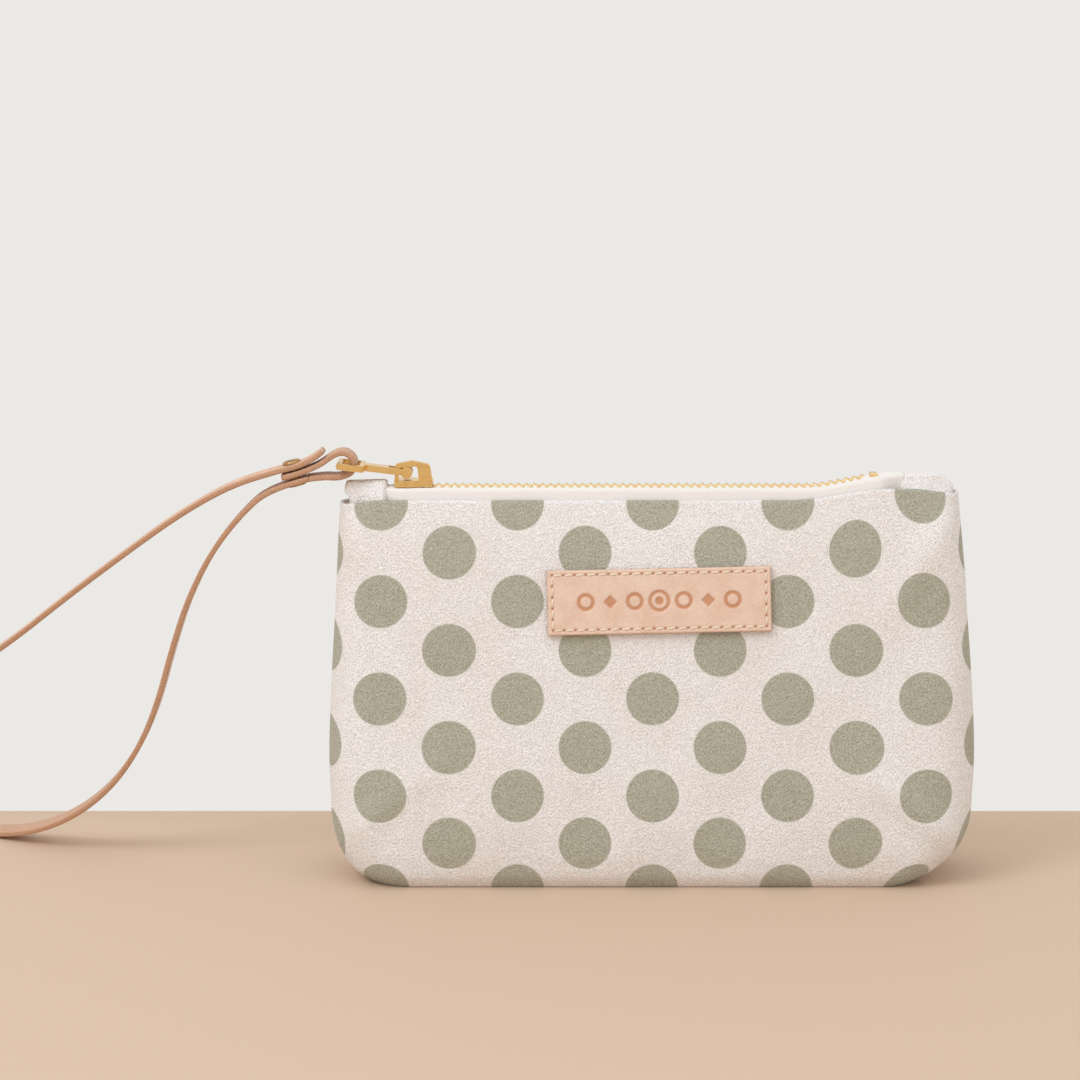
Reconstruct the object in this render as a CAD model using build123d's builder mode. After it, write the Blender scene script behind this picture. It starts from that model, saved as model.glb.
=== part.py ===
from build123d import *
from math import cos, radians, sin, tan
import os

# Zippered canvas pouch with a leather label and a leather wrist strap, in millimetres.
# Origin: middle of the base, on the surface that the pouch stands on.
# +X runs along the zipper, +Y to the back panel, +Z up. The slider rests at the -X end.

# ---------------------------------------------------------------- driving dimensions
half_length = 100.0      # widest half length of the body
half_depth = 22.0        # deepest half depth of the body, just above the base
canvas = 0.9             # thickness of the printed canvas
lining = 0.5             # thickness of the cotton lining
lining_gap = 1.7         # from the canvas's outer face to the lining's outer face
top_edge = 121.0         # height of the folded canvas edge beside the zipper
chain_z = 124.0          # height of the middle of the zipper chain
tape = 0.55              # thickness of the woven zipper tape
bead_radius = 0.7        # corded edge of the tape
bead_y = 1.3             # its distance from the middle of the chain
tooth_pitch = 2.5        # pitch of the teeth on one tape
tooth_width = 1.15
tooth_half_height = 1.1
tooth_reach = 0.55       # how far a tooth crosses the middle
tooth_root = 2.6         # how far a tooth reaches out over the tape
strap_width = 9.0
strap_thickness = 1.7
strap_lean = 13.7        # slope of the riveted stack, in degrees
clear = 0.1              # between soft pieces that lie against each other

# ---------------------------------------------------------------- stations up the body
# height, half length, half depth and corner radius of the outside at that height
stations = [
    (0.0, 89.0, 18.5, 14.0),
    (3.0, 93.0, 20.6, 15.0),
    (8.0, 96.5, 21.7, 16.0),
    (16.0, 99.0, half_depth, 16.0),
    (30.0, half_length, 21.0, 16.0),
    (60.0, 99.6, 17.0, 13.5),
    (90.0, 98.4, 12.9, 11.0),
    (110.0, 97.6, 9.6, 8.5),
    (top_edge, 97.0, 7.2, 6.4),
]


def body_sections(inset, base, top):
    """Sections of the body drawn in by inset, from height base to height top."""
    sections = []
    for height, length, depth, corner in stations:
        level = min(max(height, base), top)
        with BuildSketch(Plane.XY.offset(level)) as section:
            RectangleRounded(2 * (length - inset), 2 * (depth - inset), max(corner - inset, 1.0))
        sections.append(section.sketch.face())
    return sections


def half_shell(side, inset, thickness, rim):
    """One panel and its half of the base: side is -1 for the front, 1 for the back."""
    with BuildPart() as panel:
        loft(sections=body_sections(inset, inset, rim), ruled=True)
        loft(sections=body_sections(inset + thickness, inset + thickness, rim), ruled=True,
             mode=Mode.SUBTRACT)
        with Locations((0, -side * half_depth, rim / 2)):
            Box(3 * half_length, 2 * half_depth, 2 * rim, mode=Mode.SUBTRACT)
    return panel.part


def save(part, name):
    part.label = name
    export_step(part, f"parts/{name}.step")


os.makedirs("parts", exist_ok=True)

# ---------------------------------------------------------------- canvas and lining
save(half_shell(-1, 0.0, canvas, top_edge), "outer_front")
save(half_shell(1, 0.0, canvas, top_edge), "outer_back")
lining_rim = top_edge - 1.0
save(half_shell(-1, lining_gap, lining, lining_rim), "lining_front")
save(half_shell(1, lining_gap, lining, lining_rim), "lining_back")

# ---------------------------------------------------------------- zipper tapes and end tabs
tape_start = -84.4
tape_end = 78.9


def tape_route(side):
    """Middle line of the tape across the zipper, from its sewn edge to its bead."""
    return [
        (side * 7.6, 113.0),
        (side * 5.85, top_edge),
        (side * 5.6, 123.2),
        (side * 4.9, chain_z - 0.05),
        (side * bead_y, chain_z),
    ]


for name, side in (("zip_tape_front", -1), ("zip_tape_back", 1)):
    with BuildPart() as zip_tape:
        with BuildSketch(Plane.YZ.offset(tape_start)):
            with BuildLine():
                FilletPolyline(*tape_route(side), radius=0.4)
            trace(line_width=tape)
            with Locations((side * bead_y, chain_z)):
                Circle(bead_radius)
        extrude(amount=tape_end - tape_start)
    save(zip_tape.part, name)

tab_half = 3.6
left_tab = [(-94.4, 112.0), (-94.4, 121.8), (-96.2, 122.8), (-95.7, 126.3), (-84.5, 126.3), (-84.5, 112.0)]
right_tab = [(79.0, 112.0), (79.0, 128.3), (91.4, 128.3), (93.8, 124.6), (93.4, 112.0)]
for name, outline in (("end_tab_left", left_tab), ("end_tab_right", right_tab)):
    with BuildPart() as end_tab:
        with BuildSketch(Plane.XZ.offset(-tab_half)):
            with BuildLine():
                Polyline(*outline, close=True)
            make_face()
        extrude(amount=2 * tab_half)
        fillet(end_tab.edges().filter_by(Axis.Y).group_by(Axis.Z)[-1], 0.8)
    save(end_tab.part, name)

# ---------------------------------------------------------------- teeth and stops
first_tooth = -78.0
last_tooth = 64.5
tooth_count = int((last_tooth - first_tooth) / tooth_pitch) + 1
tape_play = 0.03         # between the tape and the brass clamped on it


def clamp_profile(side, reach, root, half_height):
    """Section of a piece clamped on the bead, cut away where the tape passes."""
    with Locations((side * (root - reach) / 2, chain_z)):
        RectangleRounded(root + reach, 2 * half_height, 0.3)
    with Locations((side * bead_y, chain_z)):
        Circle(bead_radius + tape_play, mode=Mode.SUBTRACT)
    with Locations((side * (bead_y + root), chain_z)):
        Rectangle(2 * root, tape + 2 * tape_play + 0.1, mode=Mode.SUBTRACT)


for name, side, shift in (("zip_teeth_front", -1, 0.0), ("zip_teeth_back", 1, tooth_pitch / 2)):
    with BuildPart() as teeth:
        with BuildSketch(Plane.YZ.offset(first_tooth + shift - tooth_width / 2)):
            clamp_profile(side, tooth_reach, tooth_root, tooth_half_height)
        extrude(amount=tooth_width)
    tooth = teeth.part.solids()[0]
    chain = Compound(children=[Pos(tooth_pitch * i, 0, 0) * tooth for i in range(tooth_count)])
    save(chain, name)

stop_length = 1.5
for name, side in (("top_stop_front", -1), ("top_stop_back", 1)):
    with BuildPart() as top_stop:
        with BuildSketch(Plane.YZ.offset(-84.2)):
            clamp_profile(side, -0.3, tooth_root, tooth_half_height + 0.15)
        extrude(amount=stop_length)
    save(top_stop.part, name)

bottom_stop_x = 68.0
with BuildPart() as bottom_stop:
    with BuildSketch(Plane.YZ.offset(bottom_stop_x)):
        with Locations((0, chain_z)):
            RectangleRounded(2 * tooth_root, 2 * tooth_half_height + 0.3, 0.5)
        for side in (-1, 1):
            with Locations((side * bead_y, chain_z)):
                Circle(bead_radius + tape_play, mode=Mode.SUBTRACT)
            with Locations((side * (bead_y + tooth_root), chain_z)):
                Rectangle(2 * tooth_root, tape + 2 * tape_play + 0.1, mode=Mode.SUBTRACT)
    extrude(amount=2.4)
save(bottom_stop.part, "bottom_stop")

# ---------------------------------------------------------------- slider
slider_left = -80.5
slider_right = -68.5
shoulder = 4.4           # half width at the mouth
waist = 3.5              # half width at the tail
plate = 1.0
channel = 1.6            # half height of the channel between the plates
lip = 0.7                # thickness of the lips that close the channel's sides
tape_slot = 0.55         # half height of the slot between the lips
slider_outline = [
    (slider_left, -shoulder + 0.8),
    (slider_left + 0.8, -shoulder),
    (slider_left + 4.5, -shoulder),
    (slider_left + 8.0, -waist),
    (slider_right, -waist),
]


with BuildSketch() as slider_face:
    with BuildLine():
        Polyline(*slider_outline, *[(x, -y) for x, y in reversed(slider_outline)], close=True)
    make_face()

with BuildPart() as slider_body:
    for base in (chain_z - channel - plate, chain_z + channel):
        with BuildSketch(Plane.XY.offset(base)):
            add(slider_face.sketch)
        extrude(amount=plate)
    for base in (chain_z - channel, chain_z + tape_slot):
        with BuildSketch(Plane.XY.offset(base)):
            add(slider_face.sketch)
        extrude(amount=channel - tape_slot)
        with BuildSketch(Plane.XY.offset(base)):
            with Locations(((slider_left + slider_right) / 2, 0)):
                Rectangle(2 * (slider_right - slider_left), 2 * (waist - lip))
        extrude(amount=channel - tape_slot, mode=Mode.SUBTRACT)
    with BuildSketch(Plane.XY.offset(chain_z - channel)):
        with BuildLine():
            Polyline((slider_left + 0.2, 0.0), (slider_left + 0.9, 0.5), (slider_left + 1.7, 0.0),
                     (slider_left + 0.9, -0.5), close=True)
        make_face()
    extrude(amount=2 * channel)
save(slider_body.part, "slider_body")

plate_top = chain_z + channel + plate
bridge_half = 1.3
pin_x = -76.6
pin_z = 128.9
with BuildPart() as slider_bridge:
    with BuildSketch(Plane.XZ.offset(-bridge_half)):
        with BuildLine():
            FilletPolyline((slider_left + 0.1, plate_top), (slider_left + 0.2, 131.4), (-75.0, 132.5),
                           (-69.4, 131.3), (-68.7, plate_top), radius=(1.2, 3.0, 1.6))
            Line((-68.7, plate_top), (slider_left + 0.1, plate_top))
        make_face()
        with BuildLine():
            FilletPolyline((-79.2, plate_top), (-79.1, 130.3), (-73.3, 130.7), (-72.9, plate_top),
                           radius=(0.7, 0.7))
            Line((-72.9, plate_top), (-79.2, plate_top))
        make_face(mode=Mode.SUBTRACT)
    extrude(amount=2 * bridge_half)
save(slider_bridge.part, "slider_bridge")

# ---------------------------------------------------------------- puller
pull_rise = 6.6          # degrees that the puller rests above level
pin_radius = 0.75
cheek_in = 1.6
cheek_out = 2.9
cheek_radius = 1.8
tongue_x = -83.0         # where the two cheeks join
ring_root_x = -90.5
ring_bar_x = -97.6
ring_half = 6.6
ring_open_half = 5.2
bar_radius = 1.0
rod = 1.0                # half thickness of the flat parts

with BuildPart() as puller:
    for side in (-1, 1):
        with BuildSketch(Plane.XZ.offset(side * (cheek_in + cheek_out) / 2 - (cheek_out - cheek_in) / 2)):
            with Locations((pin_x, pin_z)):
                Circle(cheek_radius)
            with Locations(((pin_x + tongue_x) / 2, pin_z)):
                Rectangle(pin_x - tongue_x, 2 * rod)
        extrude(amount=cheek_out - cheek_in)
    with BuildSketch(Plane.XZ.offset(-cheek_out)):
        with Locations((pin_x, pin_z)):
            Circle(pin_radius)
    extrude(amount=2 * cheek_out)
    with BuildSketch(Plane.XY.offset(pin_z - rod)):
        with BuildLine():
            Polyline((tongue_x + 0.6, cheek_out), (tongue_x + 0.6, -cheek_out), (ring_root_x, -2.3),
                     (ring_root_x, 2.3), close=True)
        make_face()
        with Locations(((ring_root_x + ring_bar_x) / 2, 0)):
            RectangleRounded(ring_root_x - ring_bar_x + 1.4, 2 * ring_half, 1.2)
        with Locations(((ring_root_x + ring_bar_x) / 2 - 0.15, 0)):
            Rectangle(ring_root_x - ring_bar_x - 1.3, 2 * ring_open_half, mode=Mode.SUBTRACT)
    extrude(amount=2 * rod)
    with BuildSketch(Plane.XZ.offset(-ring_half + 0.6)):
        with Locations((ring_bar_x, pin_z)):
            Circle(bar_radius)
    extrude(amount=2 * (ring_half - 0.6))
pivot = Pos(pin_x, 0, pin_z) * Rot(0, pull_rise, 0) * Pos(-pin_x, 0, -pin_z)
save(pivot * puller.part, "puller")
bar_run = pin_x - ring_bar_x
bar_x = pin_x - bar_run * cos(radians(pull_rise))
bar_z = pin_z + bar_run * sin(radians(pull_rise))
print(f"strap bar at x {bar_x:.2f}, z {bar_z:.2f}")

# ---------------------------------------------------------------- wrist strap
# One leather strip. Its long run and its tail loop meet under the rivet's bottom layer.
handle_route = [
    (-107.0, 0.0, 127.1),
    (-119.0, 0.0, 124.17),
    (-128.4, 1.4, 115.9),
    (-138.6, 4.2, 102.8),
    (-146.6, 7.0, 87.0),
    (-152.2, 9.2, 70.4),
    (-157.0, 11.1, 53.6),
    (-163.4, 13.9, 38.4),
    (-173.0, 18.6, 24.2),
    (-186.0, 25.8, 12.6),
    (-201.0, 34.8, 4.6),
    (-216.5, 44.2, 1.0),
    (-231.0, 52.4, 1.1),
    (-243.6, 58.6, 10.0),
    (-248.6, 61.0, 25.0),
    (-243.4, 58.6, 40.4),
    (-229.6, 52.0, 52.4),
    (-209.0, 39.8, 67.0),
    (-187.6, 26.6, 84.8),
    (-166.6, 15.6, 101.2),
    (-148.6, 7.8, 114.6),
    (-132.6, 2.8, 124.2),
    (-118.8, 0.1, 129.04),
    (-107.3, 0.0, 131.84),
    (-102.7, 0.0, 135.7),
]
tail_route = [
    (-106.9, 0.0, 127.1),
    (-102.3, 0.0, 127.75),
    (-97.6, 0.0, 127.35),
    (-92.9, 0.0, 129.2),
    (-92.8, 0.0, 133.7),
    (-97.5, 0.0, 136.15),
    (-105.6, 0.0, 129.81),
    (-115.5, 0.0, 127.4),
]
arc_share = 0.45         # share of the shorter run that each arc may take


def arc_radii(route):
    """Radius of the tangent arc at each inner point of a route."""
    radii = []
    for before, point, after in zip(route, route[1:], route[2:]):
        incoming = Vector(*point) - Vector(*before)
        outgoing = Vector(*after) - Vector(*point)
        half_turn = radians(incoming.get_angle(outgoing)) / 2
        radii.append(arc_share * min(incoming.length, outgoing.length) / tan(half_turn))
    return radii


def strip(name, route):
    """Flat leather strip along a route, its width held level across the route."""
    radii = arc_radii(route)
    with BuildPart() as leather:
        with BuildLine() as line:
            FilletPolyline(*route, radius=radii)
        start = Vector(*route[0])
        heading = Vector(*route[1]) - start
        with BuildSketch(Plane(origin=start, x_dir=(0, 1, 0), z_dir=heading)):
            Rectangle(strap_width, strap_thickness)
        sweep(path=line.wire(), binormal=line.wire().moved(Location((0, 10, 0))))
    length = line.wire().length
    share = leather.part.volume / (length * strap_width * strap_thickness)
    print(f"{name}: length {length:.1f}, volume share {share:.3f}, radii {[round(r, 1) for r in radii]}")
    return leather.part


# ---------------------------------------------------------------- rivet through the stack
stack_x = -111.8
stack_z = 128.3
shaft_radius = 1.0
head_radius = 2.9
lean = radians(strap_lean)
rivet_axis = Plane(origin=(stack_x, 0, stack_z), x_dir=(cos(lean), 0, sin(lean)), z_dir=(-sin(lean), 0, cos(lean)))
top_face = 3.34          # of the stack above its middle layer's middle, along the rivet
bottom_face = -3.2

with BuildPart() as rivet_hole:
    with BuildSketch(rivet_axis.offset(-8)):
        Circle(shaft_radius + 0.1)
    extrude(amount=16)

for name, route in (("strap_handle", handle_route), ("strap_tail_loop", tail_route)):
    save(strip(name, route) - rivet_hole.part, name)

with BuildPart() as rivet_post:
    with BuildSketch(rivet_axis.offset(bottom_face - 0.6)):
        Circle(head_radius)
    extrude(amount=0.55)
    with BuildSketch(rivet_axis.offset(bottom_face - 0.6)):
        Circle(shaft_radius)
    extrude(amount=top_face - bottom_face + 0.6)
save(rivet_post.part, "rivet_post")

with BuildPart() as rivet_cap:
    with BuildSketch(rivet_axis.offset(top_face + 0.05)):
        Circle(head_radius)
    extrude(amount=1.0)
    fillet(rivet_cap.edges().filter_by(GeomType.CIRCLE).sort_by(Axis.Z)[-1], 0.85)
save(rivet_cap.part, "rivet_cap")

# ---------------------------------------------------------------- leather label
label_width = 69.4
label_height = 20.2
label_thickness = 1.5
label_turn = 1.2         # degrees that the label is sewn off level
label_lean = 9.0         # degrees that the front panel leans back there
stitch_pitch = 3.5
stitch_inset = 1.55
stitch_length = 2.5
stitch_width = 0.55
stitch_rise = 0.3
turn = radians(label_turn)
tilt = radians(label_lean)
label_plane = Plane(
    origin=(2.0, -13.2, 90.3),
    x_dir=(cos(turn), sin(turn) * sin(tilt), sin(turn) * cos(tilt)),
    z_dir=(0, -cos(tilt), sin(tilt)),
)

with BuildPart() as leather_label:
    with BuildSketch(label_plane):
        RectangleRounded(label_width, label_height, 0.6)
    extrude(amount=label_thickness)
save(leather_label.part, "leather_label")

stitches_long = 19
stitches_short = 5
row_x = label_width / 2 - stitch_inset
row_y = label_height / 2 - stitch_inset
with BuildPart() as label_stitches:
    with BuildSketch(label_plane.offset(label_thickness + 0.02)):
        for side in (-1, 1):
            with Locations((0, side * row_y)):
                with GridLocations(stitch_pitch, 1, stitches_long, 1):
                    SlotOverall(stitch_length, stitch_width)
            with Locations((side * row_x, 0)):
                with GridLocations(1, stitch_pitch, 1, stitches_short):
                    SlotOverall(stitch_length, stitch_width, rotation=90)
    extrude(amount=stitch_rise)
save(label_stitches.part, "label_stitches")
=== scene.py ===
"""Zippered canvas pouch with a leather label and a leather wrist strap."""

import math
import random

import bmesh
import bpy
import numpy as np
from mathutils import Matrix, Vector


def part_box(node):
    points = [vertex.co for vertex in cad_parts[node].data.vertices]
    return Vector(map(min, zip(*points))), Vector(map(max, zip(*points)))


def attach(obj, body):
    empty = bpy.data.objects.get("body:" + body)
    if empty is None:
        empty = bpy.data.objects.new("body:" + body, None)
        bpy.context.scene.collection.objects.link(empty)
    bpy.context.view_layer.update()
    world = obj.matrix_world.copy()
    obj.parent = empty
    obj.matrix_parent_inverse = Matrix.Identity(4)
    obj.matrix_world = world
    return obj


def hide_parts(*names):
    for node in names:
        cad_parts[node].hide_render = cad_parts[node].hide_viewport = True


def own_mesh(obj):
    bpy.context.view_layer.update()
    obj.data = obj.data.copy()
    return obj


bl_info = {
    "name": "Canvas Pouch",
    "version": (1, 0, 0),
    "blender": (4, 5, 0),
    "location": "View3D > Sidebar > Pouch",
    "description": "Builds a zippered canvas pouch with a leather label and a wrist strap",
    "category": "Add Mesh",
}

MM = 0.001
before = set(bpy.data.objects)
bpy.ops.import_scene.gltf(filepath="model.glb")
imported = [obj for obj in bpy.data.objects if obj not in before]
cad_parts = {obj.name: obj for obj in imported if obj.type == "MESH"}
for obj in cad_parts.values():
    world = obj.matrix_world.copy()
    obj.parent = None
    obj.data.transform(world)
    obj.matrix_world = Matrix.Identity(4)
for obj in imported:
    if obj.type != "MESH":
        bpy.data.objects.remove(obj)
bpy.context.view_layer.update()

# ------------------------------------------------------------------ helpers


def linear(hex_colour, alpha=1.0):
    """An sRGB hex colour as the linear colour that a shader takes."""
    channels = [int(hex_colour[i : i + 2], 16) / 255 for i in (1, 3, 5)]
    return tuple(c / 12.92 if c <= 0.04045 else ((c + 0.055) / 1.055) ** 2.4 for c in channels) + (alpha,)


def add_node(tree, kind, settings=None, **inputs):
    """Adds a node with its settings, and sets or links its inputs; a key such as i2 is the input's index."""
    node = tree.nodes.new(kind)
    for key, value in (settings or {}).items():
        setattr(node, key, value)
    for key, value in inputs.items():
        index = key[1:]
        socket = node.inputs[int(index)] if key[0] == "i" and index.isdigit() else node.inputs[key.replace("_", " ")]
        if isinstance(value, bpy.types.NodeSocket):
            tree.links.new(value, socket)
        else:
            socket.default_value = value
    return node


def start_material(name):
    """A new node material, with its tree, its shader and its Object coordinates in millimetres."""
    material = bpy.data.materials.new(name)
    material.use_nodes = True
    tree = material.node_tree
    shader = tree.nodes["Principled BSDF"]
    place = add_node(tree, "ShaderNodeTexCoord")
    millimetres = add_node(
        tree, "ShaderNodeVectorMath", {"operation": "SCALE"}, i0=place.outputs["Object"], Scale=1000.0
    )
    return material, tree, shader, millimetres.outputs["Vector"]


def ramp(tree, value, low, high, from_colour, to_colour):
    """A colour that runs from one to another as value goes from low to high."""
    node = add_node(
        tree, "ShaderNodeMapRange", {"interpolation_type": "SMOOTHSTEP"}, Value=value, From_Min=low, From_Max=high
    )
    mix = add_node(
        tree, "ShaderNodeMix", {"data_type": "RGBA"}, i0=node.outputs["Result"], i6=from_colour, i7=to_colour
    )
    return mix.outputs[2]


def mesh_object(name, points, faces, smooth=True):
    """A finished mesh in the row frame, in metres."""
    mesh = bpy.data.meshes.new(name)
    mesh.from_pydata([tuple(p) for p in points], [], faces)
    mesh.validate()
    mesh.polygons.foreach_set("use_smooth", [smooth] * len(mesh.polygons))
    piece = bpy.data.objects.new(name, mesh)
    bpy.context.scene.collection.objects.link(piece)
    return piece


def shape_object(name, shape):
    """Turns a finished bmesh into a smooth-shaded piece."""
    mesh = bpy.data.meshes.new(name)
    shape.to_mesh(mesh)
    shape.free()
    mesh.polygons.foreach_set("use_smooth", [True] * len(mesh.polygons))
    piece = bpy.data.objects.new(name, mesh)
    bpy.context.scene.collection.objects.link(piece)
    return piece


def bake(piece):
    """Turns a piece's modifiers into plain mesh."""
    bpy.context.view_layer.update()
    graph = bpy.context.evaluated_depsgraph_get()
    mesh = bpy.data.meshes.new_from_object(piece.evaluated_get(graph), preserve_all_data_layers=True, depsgraph=graph)
    piece.modifiers.clear()
    piece.data = mesh
    return piece


def face_outwards(piece, merge=1e-7):
    """Merges doubled points and turns every face outwards."""
    shape = bmesh.new()
    shape.from_mesh(piece.data)
    bmesh.ops.remove_doubles(shape, verts=shape.verts, dist=merge)
    bmesh.ops.dissolve_degenerate(shape, edges=shape.edges, dist=merge)
    bmesh.ops.recalc_face_normals(shape, faces=shape.faces)
    shape.to_mesh(piece.data)
    shape.free()


def clothe(piece, material):
    """Gives the whole piece one material."""
    piece.data.materials.clear()
    piece.data.materials.append(material)


def attribute(piece, name, values):
    """Stores one number for each point of the piece."""
    layer = piece.data.attributes.new(name, "FLOAT", "POINT")
    layer.data.foreach_set("value", np.asarray(values, np.float32))


def read_attribute(tree, name):
    return add_node(tree, "ShaderNodeAttribute", {"attribute_name": name}).outputs["Fac"]


# ------------------------------------------------------------------ settings


class PouchSettings(bpy.types.PropertyGroup):
    cloth_colour: bpy.props.StringProperty(name="Cloth", description="Colour of the bare canvas", default="#FBF7F4")
    ink_colour: bpy.props.StringProperty(name="Ink", description="Colour of the print", default="#BEBBA9")
    leather_colour: bpy.props.StringProperty(name="Leather", description="Colour of the leather", default="#E3BEA5")
    canvas_thickness: bpy.props.FloatProperty(
        name="Canvas", description="Thickness of the canvas", default=0.0009, unit="LENGTH", precision=4
    )
    grain: bpy.props.FloatProperty(
        name="Grain", description="Width of the canvas's thick threads", default=0.00036, unit="LENGTH", precision=4
    )
    tooth_pitch: bpy.props.FloatProperty(
        name="Tooth pitch", description="Distance between teeth on one tape", default=0.0025, unit="LENGTH", precision=4
    )
    strap_width: bpy.props.FloatProperty(
        name="Strap width", description="Width of the leather strip", default=0.009, unit="LENGTH", precision=4
    )
    strap_thickness: bpy.props.FloatProperty(
        name="Strap thickness", description="Thickness of the leather strip", default=0.0017, unit="LENGTH", precision=4
    )
    label_width: bpy.props.FloatProperty(
        name="Label width", description="Width of the leather label", default=0.0694, unit="LENGTH", precision=4
    )
    label_height: bpy.props.FloatProperty(
        name="Label height", description="Height of the leather label", default=0.0202, unit="LENGTH", precision=4
    )
    stitch_pitch: bpy.props.FloatProperty(
        name="Stitch pitch", description="Distance between the label's stitches", default=0.0034, unit="LENGTH", precision=4
    )


def settings():
    return bpy.context.scene.pouch_settings


# ------------------------------------------------------------------ materials


def printed_canvas(cloth, ink, printed=True):
    """Cotton duck, unbleached and screen printed: thick uneven threads, coloured darker in the weave's hollows as
    painted shade and lighter on its crowns as painted highlight, and ink that sits on their crowns and misses some of
    the hollows, so its edge is a little ragged."""
    grain = settings().grain / MM
    material, tree, shader, place = start_material("canvas_printed" if printed else "canvas_plain")
    upright = add_node(tree, "ShaderNodeMapping", i0=place, Scale=(1.0, 1.0, 0.62))
    slubs = add_node(
        tree, "ShaderNodeTexNoise", i0=upright.outputs[0], Scale=0.82 / grain, Detail=1.5, Roughness=0.5, Distortion=0.25
    )
    cells = add_node(
        tree, "ShaderNodeTexVoronoi", {"feature": "SMOOTH_F1"}, i0=upright.outputs[0], Scale=0.95 / grain,
        Smoothness=0.5
    )
    relief = add_node(
        tree, "ShaderNodeMath", {"operation": "MULTIPLY_ADD"}, i0=cells.outputs["Distance"], i1=-0.55,
        i2=slubs.outputs["Fac"]
    )
    cloudy = add_node(tree, "ShaderNodeTexNoise", i0=place, Scale=0.05, Detail=3.0)
    # painted shade and highlight: the bare cloth runs from #E4DFDB in the low relief to the cloth colour on the crowns,
    # partly real slub tone
    bare = ramp(tree, relief.outputs[0], 0.0, 0.5, linear("#E4DFDB"), linear(cloth))
    warm = add_node(
        tree, "ShaderNodeMix", {"data_type": "RGBA", "blend_type": "MULTIPLY"}, i0=0.3, i6=bare,
        i7=ramp(tree, cloudy.outputs["Fac"], 0.3, 0.7, linear("#F6EDE6"), linear("#FFFFFF")),
    )
    colour = warm.outputs[2]
    if printed:
        # painted shade and highlight: the ink runs from #A19E8B in the weave's low relief to the ink colour on its
        # crowns
        inked = ramp(tree, relief.outputs[0], -0.05, 0.5, linear("#A19E8B"), linear(ink))
        ragged = add_node(
            tree, "ShaderNodeMath", {"operation": "MULTIPLY_ADD"}, i0=relief.outputs[0], i1=-0.5,
            i2=read_attribute(tree, "ink")
        )
        edge = add_node(
            tree, "ShaderNodeMapRange", Value=ragged.outputs[0], From_Min=-0.28, From_Max=0.08, To_Min=1.0,
            To_Max=0.0
        )
        colour = add_node(
            tree, "ShaderNodeMix", {"data_type": "RGBA"}, i0=edge.outputs[0], i6=colour, i7=inked
        ).outputs[2]
    bump = add_node(tree, "ShaderNodeBump", Strength=1.0, Distance=0.00045, Height=relief.outputs[0])
    tree.links.new(colour, shader.inputs["Base Color"])
    tree.links.new(bump.outputs[0], shader.inputs["Normal"])
    shader.inputs["Roughness"].default_value = 0.92
    shader.inputs["Sheen Weight"].default_value = 0.15
    shader.inputs["Sheen Roughness"].default_value = 0.5
    return material


def woven_tape():
    """Cotton zipper tape in a herringbone twill: ribs about 0.8 mm wide that lean one way and then the other."""
    material, tree, shader, place = start_material("cotton_zipper_tape")
    ribs = add_node(
        tree, "ShaderNodeTexWave", {"bands_direction": "DIAGONAL"}, i0=place, Scale=0.8, Distortion=0.8, Detail=1.0
    )
    fuzz = add_node(tree, "ShaderNodeTexNoise", i0=place, Scale=2.4, Detail=3.0)
    height = add_node(
        tree, "ShaderNodeMath", {"operation": "MULTIPLY_ADD"}, i0=fuzz.outputs["Fac"], i1=1.0, i2=ribs.outputs["Fac"]
    )
    tree.links.new(
        ramp(tree, height.outputs[0], 0.0, 1.6, linear("#DCD5CD"), linear("#ECE5DE")), shader.inputs["Base Color"]
    )
    bump = add_node(tree, "ShaderNodeBump", Strength=0.5, Distance=0.0001, Height=height.outputs[0])
    tree.links.new(bump.outputs[0], shader.inputs["Normal"])
    shader.inputs["Roughness"].default_value = 0.9
    return material


def plain_lining():
    """Plain-woven cotton lining: a fine even weave, matt."""
    material, tree, shader, place = start_material("cotton_lining")
    weave = add_node(tree, "ShaderNodeTexNoise", i0=place, Scale=1.8, Detail=2.0)
    tree.links.new(
        ramp(tree, weave.outputs["Fac"], 0.3, 0.7, linear("#CFC5B0"), linear("#E2DAC8")), shader.inputs["Base Color"]
    )
    bump = add_node(tree, "ShaderNodeBump", Strength=0.4, Distance=0.0001, Height=weave.outputs["Fac"])
    tree.links.new(bump.outputs[0], shader.inputs["Normal"])
    shader.inputs["Roughness"].default_value = 0.95
    return material


def satin_brass(name, bright, dull, roughness, tarnish):
    """Stamped brass, tumbled to a satin: fine even scratches, and a darker film where it isn't rubbed."""
    material, tree, shader, place = start_material(name)
    film = add_node(tree, "ShaderNodeTexNoise", i0=place, Scale=0.5, Detail=4.0)
    scratch_place = add_node(tree, "ShaderNodeMapping", i0=place, Scale=(0.6, 4.0, 4.0))
    scratches = add_node(tree, "ShaderNodeTexNoise", i0=scratch_place.outputs[0], Scale=2.0, Detail=4.0)
    tree.links.new(
        ramp(tree, film.outputs["Fac"], 0.5 - tarnish, 0.6, linear(dull), linear(bright)),
        shader.inputs["Base Color"]
    )
    gloss = add_node(
        tree, "ShaderNodeMapRange", Value=scratches.outputs["Fac"], From_Min=0.3, From_Max=0.7,
        To_Min=roughness - 0.06, To_Max=roughness + 0.1,
    )
    tree.links.new(gloss.outputs[0], shader.inputs["Roughness"])
    bump = add_node(tree, "ShaderNodeBump", Strength=0.15, Distance=0.00005, Height=scratches.outputs["Fac"])
    tree.links.new(bump.outputs[0], shader.inputs["Normal"])
    shader.inputs["Metallic"].default_value = 1.0
    return material


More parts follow.
